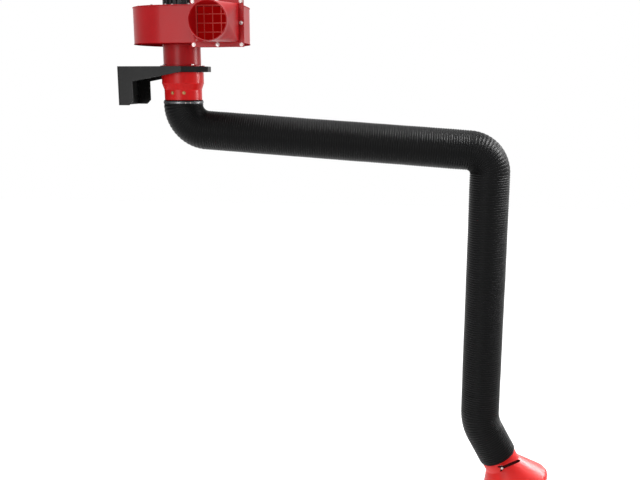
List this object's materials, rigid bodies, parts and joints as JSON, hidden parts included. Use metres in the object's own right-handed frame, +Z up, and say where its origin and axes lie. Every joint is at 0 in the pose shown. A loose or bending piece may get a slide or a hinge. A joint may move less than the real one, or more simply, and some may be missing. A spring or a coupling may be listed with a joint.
{
  "type": "fume extraction arm",
  "caption": "Wall-mounted fume extraction arm: a fan on a folded bracket, a swivel collar, a jointed arm inside a ribbed hose, and a flared hood with a damper.",
  "frame": {"origin": "centre of the wall plate's back face, where the part meets the wall", "axes": "+X straight out from the wall, +Z up, the arm hangs in the plane Y = 0 and the fan blows out towards -Y"},
  "size_m": [1.9793, 0.6231, 2.5105],
  "materials": {
    "red_paint": "satin",
    "red_aluminium": "satin",
    "black_paint": "satin",
    "motor_casting": "satin",
    "hose_fabric": "satin",
    "bright_steel": "satin",
    "galvanised_steel": "matte",
    "plain_aluminium": "satin",
    "black_plastic": "matte",
    "rubber": "matte"
  },
  "bodies": {
    "base": {"wall_plate": "black_paint", "wall_bracket": "black_paint", "inlet_duct": "red_paint", "scroll_housing": "red_paint", "scroll_cover": "red_paint", "inlet_cone": "galvanised_steel", "outlet_gasket": "rubber", "outlet_transition": "red_paint", "outlet_guard": "red_paint", "motor_flange": "motor_casting", "motor_frame": "motor_casting", "motor_end_shield": "motor_casting", "motor_cowl": "black_paint", "terminal_box": "motor_casting", "terminal_lid": "motor_casting", "cable_gland": "black_plastic", "swivel_ring": "black_paint", "ring_bolt_1": "bright_steel", "ring_bolt_2": "bright_steel", "ring_bolt_3": "bright_steel", "ring_bolt_4": "bright_steel"},
    "rotor": {"motor_shaft": "bright_steel", "motor_rotor": "galvanised_steel", "impeller": "plain_aluminium", "impeller_bolt": "bright_steel", "cooling_fan": "black_plastic"},
    "swivel": {"slide_ring": "black_plastic", "retaining_ring": "galvanised_steel", "swivel_collar": "red_paint", "yoke_screw_1": "bright_steel", "yoke_screw_2": "bright_steel", "shoulder_yoke": "black_paint", "shoulder_pin": "bright_steel", "shoulder_nut": "bright_steel", "hose_clamp": "bright_steel", "clamp_screw": "bright_steel", "shoulder_hose": "hose_fabric"},
    "upper_arm": {"upper_tube": "black_paint", "shoulder_disc_1": "black_plastic", "shoulder_disc_2": "black_plastic", "balance_spring": "galvanised_steel", "upper_hose": "hose_fabric", "elbow_pin": "bright_steel", "elbow_nut": "bright_steel", "elbow_hose": "hose_fabric"},
    "lower_arm": {"lower_tube": "black_paint", "elbow_disc_1": "black_plastic", "elbow_disc_2": "black_plastic", "lower_hose": "hose_fabric", "wrist_pin": "bright_steel", "wrist_nut": "bright_steel", "wrist_hose": "hose_fabric"},
    "wrist": {"neck_ring": "red_aluminium", "wrist_disc_1": "black_plastic", "wrist_disc_2": "black_plastic"},
    "hood": {"hood_bell": "red_aluminium"},
    "damper": {"damper_shaft": "bright_steel", "damper_blade": "plain_aluminium", "damper_lever": "black_plastic", "lever_screw": "bright_steel"}
  },
  "joints": [
    {"name": "impeller_spin", "type": "hinge", "parent": "base", "child": "rotor", "pos_m": [0.2605, 0, 0.3], "axis": [0, 0, 1], "continuous": true},
    {"name": "arm_swivel", "type": "hinge", "parent": "base", "child": "swivel", "pos_m": [0.2605, 0, 0], "axis": [0, 0, 1], "range_deg": [-90, 90]},
    {"name": "shoulder_tilt", "type": "hinge", "parent": "swivel", "child": "upper_arm", "pos_m": [0.2605, 0, -0.1933], "axis": [0, -1, 0], "range_deg": [-30, 30], "deforming": ["shoulder_hose", "balance_spring"]},
    {"name": "elbow_fold", "type": "hinge", "parent": "upper_arm", "child": "lower_arm", "pos_m": [1.65085, 0, -0.28687], "axis": [0, -1, 0], "range_deg": [-45, 70], "deforming": ["elbow_hose"]},
    {"name": "wrist_tilt", "type": "hinge", "parent": "lower_arm", "child": "wrist", "pos_m": [1.65309, 0, -1.56586], "axis": [0, -1, 0], "range_deg": [-70, 45], "deforming": ["wrist_hose"]},
    {"name": "hood_turn", "type": "hinge", "parent": "wrist", "child": "hood", "pos_m": [1.74781, 0, -1.73745], "axis": [0.4833, 0, -0.8755], "range_deg": [-170, 170]},
    {"name": "damper_turn", "type": "hinge", "parent": "hood", "child": "damper", "pos_m": [1.75554, 0, -1.75146], "axis": [0, -1, 0], "range_deg": [0, 90]}
  ]
}
